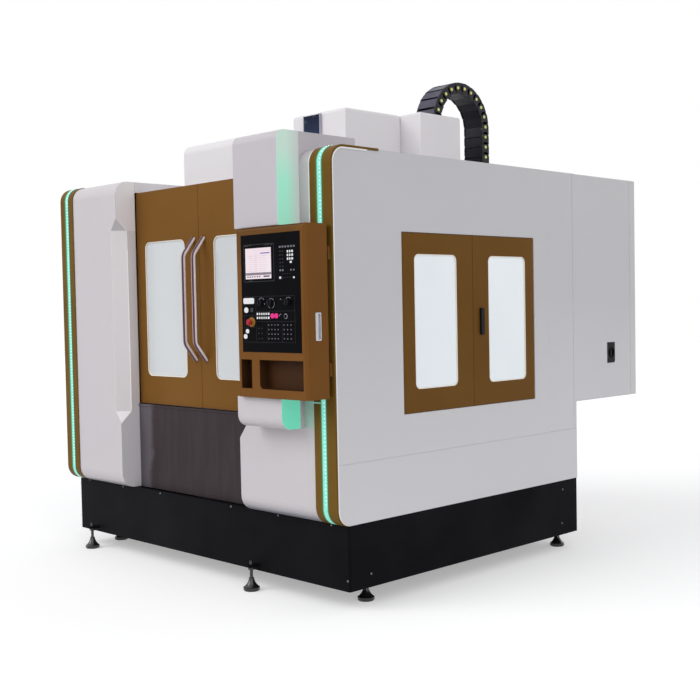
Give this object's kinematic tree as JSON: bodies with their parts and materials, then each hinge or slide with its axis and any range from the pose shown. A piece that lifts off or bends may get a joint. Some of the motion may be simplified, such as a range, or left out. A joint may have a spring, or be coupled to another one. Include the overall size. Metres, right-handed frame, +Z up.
{
  "type": "vertical machining centre",
  "caption": "Enclosed vertical machining centre with sliding front doors, swinging control box, side service doors, rear cabinet and an arched cable chain.",
  "frame": {"origin": "on the floor under the middle of the overall box", "axes": "+X to the operator's right, +Y from the front doors to the rear cabinet, +Z up"},
  "size_m": [2.624, 3.051, 3.0854],
  "materials": {
    "white_paint": "satin",
    "bronze_paint": "satin",
    "dark_paint": "satin",
    "black_paint": "satin",
    "casting": "satin",
    "steel": "satin",
    "bright_steel": "polished",
    "foot_rubber": "matte",
    "glass": "polished",
    "dark_glass": "polished",
    "screen_face": "gloss",
    "black_plastic": "matte",
    "light_strip": "satin",
    "key_white": "matte",
    "stop_red": "gloss",
    "collar_yellow": "matte",
    "lamp_red": "gloss",
    "lamp_green": "gloss",
    "chain_plastic": "matte"
  },
  "bodies": {
    "frame": {"plinth": "black_paint", "levelling_feet": "bright_steel", "bed_casting": "casting", "column_casting": "casting", "guide_rails": "steel", "drive_motors": "black_paint", "chip_tray": "steel", "left_pillar": "white_paint", "right_pillar": "white_paint", "edge_trims": "bronze_paint", "light_strips": "light_strip", "left_wall": "white_paint", "right_wall": "white_paint", "cable_chain": "chain_plastic", "rear_wall": "white_paint", "roof_panel": "white_paint", "head_cover": "white_paint", "cover_window": "dark_glass", "column_cover": "white_paint", "upper_cover": "white_paint", "lower_cover": "white_paint", "apron": "dark_paint", "door_track": "steel", "cabinet_shell": "white_paint", "switch_plate": "black_plastic", "magazine_frame": "casting"},
    "left_door_body": {"left_door": "bronze_paint", "left_door_glass": "glass", "left_door_handle": "bright_steel"},
    "right_door_body": {"right_door": "bronze_paint", "right_door_glass": "glass", "right_door_handle": "bright_steel"},
    "service_front_body": {"service_door_front": "bronze_paint", "service_glass_front": "glass"},
    "service_rear_body": {"service_door_rear": "bronze_paint", "service_glass_rear": "glass"},
    "service_latch_body": {"service_latch": "black_plastic"},
    "control_box_body": {"control_box": "bronze_paint", "control_plate": "black_plastic", "screen": "screen_face", "keypad": "key_white", "box_grip": "bright_steel", "e_stop_collar": "collar_yellow"},
    "e_stop_body": {"e_stop": "stop_red"},
    "feed_knob_body": {"feed_knob": "black_plastic"},
    "spindle_knob_body": {"spindle_knob": "black_plastic"},
    "mode_knob_body": {"mode_knob": "black_plastic"},
    "start_button_body": {"start_button": "lamp_green"},
    "stop_button_body": {"stop_button": "lamp_red"},
    "cabinet_door_body": {"cabinet_door": "white_paint"},
    "main_switch_body": {"main_switch": "black_plastic"},
    "saddle_body": {"saddle": "casting"},
    "table_body": {"table": "casting"},
    "head_body": {"head": "casting", "spindle_motor": "black_paint"},
    "spindle_body": {"spindle": "bright_steel"},
    "tool_drum_body": {"tool_drum": "casting"},
    "x_screw_body": {"x_screw": "steel"},
    "y_screw_body": {"y_screw": "steel"},
    "z_screw_body": {"z_screw": "steel"}
  },
  "joints": [
    {"name": "left_door_slide", "type": "slide", "parent": "frame", "child": "left_door_body", "axis": [-1, 0, 0], "range_m": [0, 0.56]},
    {"name": "right_door_slide", "type": "slide", "parent": "frame", "child": "right_door_body", "axis": [1, 0, 0], "range_m": [0, 0.45]},
    {"name": "service_front_hinge", "type": "hinge", "parent": "frame", "child": "service_front_body", "pos_m": [1.283, -0.7855, 1.5], "axis": [0, 0, -1], "range_deg": [0, 90]},
    {"name": "service_rear_hinge", "type": "hinge", "parent": "frame", "child": "service_rear_body", "pos_m": [1.283, 0.3585, 1.5], "axis": [0, 0, 1], "range_deg": [0, 90]},
    {"name": "service_latch_turn", "type": "hinge", "parent": "service_rear_body", "child": "service_latch_body", "pos_m": [1.296, -0.1435, 1.529], "axis": [1, 0, 0], "range_deg": [0, 90]},
    {"name": "control_box_swing", "type": "hinge", "parent": "frame", "child": "control_box_body", "pos_m": [1.281, -1.324, 1.25], "axis": [0, 0, 1], "range_deg": [0, 85]},
    {"name": "e_stop_press", "type": "slide", "parent": "control_box_body", "child": "e_stop_body", "axis": [0, 1, 0], "range_m": [0, 0.005], "stiffness_N_per_m": 800},
    {"name": "feed_knob_turn", "type": "hinge", "parent": "control_box_body", "child": "feed_knob_body", "pos_m": [0.955, -1.4915, 1.592], "axis": [0, 1, 0], "range_deg": [-140, 140]},
    {"name": "spindle_knob_turn", "type": "hinge", "parent": "control_box_body", "child": "spindle_knob_body", "pos_m": [1.031, -1.4915, 1.592], "axis": [0, 1, 0], "range_deg": [-140, 140]},
    {"name": "mode_knob_turn", "type": "hinge", "parent": "control_box_body", "child": "mode_knob_body", "pos_m": [1.163, -1.4915, 1.592], "axis": [0, 1, 0], "range_deg": [-120, 120]},
    {"name": "start_button_press", "type": "slide", "parent": "control_box_body", "child": "start_button_body", "axis": [0, 1, 0], "range_m": [0, 0.003], "stiffness_N_per_m": 600},
    {"name": "stop_button_press", "type": "slide", "parent": "control_box_body", "child": "stop_button_body", "axis": [0, 1, 0], "range_m": [0, 0.003], "stiffness_N_per_m": 600},
    {"name": "cabinet_door_hinge", "type": "hinge", "parent": "frame", "child": "cabinet_door_body", "pos_m": [0.436, 1.4605, 1.15], "axis": [0, 0, 1], "range_deg": [0, 110]},
    {"name": "main_switch_turn", "type": "hinge", "parent": "frame", "child": "main_switch_body", "pos_m": [1.293, 1.2205, 1.228], "axis": [1, 0, 0], "range_deg": [0, 90]},
    {"name": "y_travel", "type": "slide", "parent": "frame", "child": "saddle_body", "axis": [0, 1, 0], "range_m": [-0.25, 0.25]},
    {"name": "x_travel", "type": "slide", "parent": "saddle_body", "child": "table_body", "axis": [1, 0, 0], "range_m": [-0.425, 0.425]},
    {"name": "z_travel", "type": "slide", "parent": "frame", "child": "head_body", "axis": [0, 0, 1], "range_m": [-0.55, 0], "deforming": ["cable_chain"]},
    {"name": "spindle_turn", "type": "hinge", "parent": "head_body", "child": "spindle_body", "pos_m": [-0.007, -0.2315, 1.65], "axis": [0, 0, 1], "continuous": true},
    {"name": "tool_drum_turn", "type": "hinge", "parent": "frame", "child": "tool_drum_body", "pos_m": [-0.767, -0.2315, 1.96], "axis": [1, 0, 0], "continuous": true},
    {"name": "x_screw_turn", "type": "hinge", "parent": "saddle_body", "child": "x_screw_body", "pos_m": [-0.007, -0.2315, 0.824], "axis": [1, 0, 0], "continuous": true},
    {"name": "y_screw_turn", "type": "hinge", "parent": "frame", "child": "y_screw_body", "pos_m": [-0.007, -0.2315, 0.59], "axis": [0, 1, 0], "continuous": true},
    {"name": "z_screw_turn", "type": "hinge", "parent": "frame", "child": "z_screw_body", "pos_m": [-0.007, 0.4605, 1.75], "axis": [0, 0, 1], "continuous": true}
  ],
  "couplings": [
    {"joint": "x_screw_turn", "follows": "x_travel", "rad_per_m": 523.6},
    {"joint": "y_screw_turn", "follows": "y_travel", "rad_per_m": 523.6},
    {"joint": "z_screw_turn", "follows": "z_travel", "rad_per_m": 523.6}
  ]
}
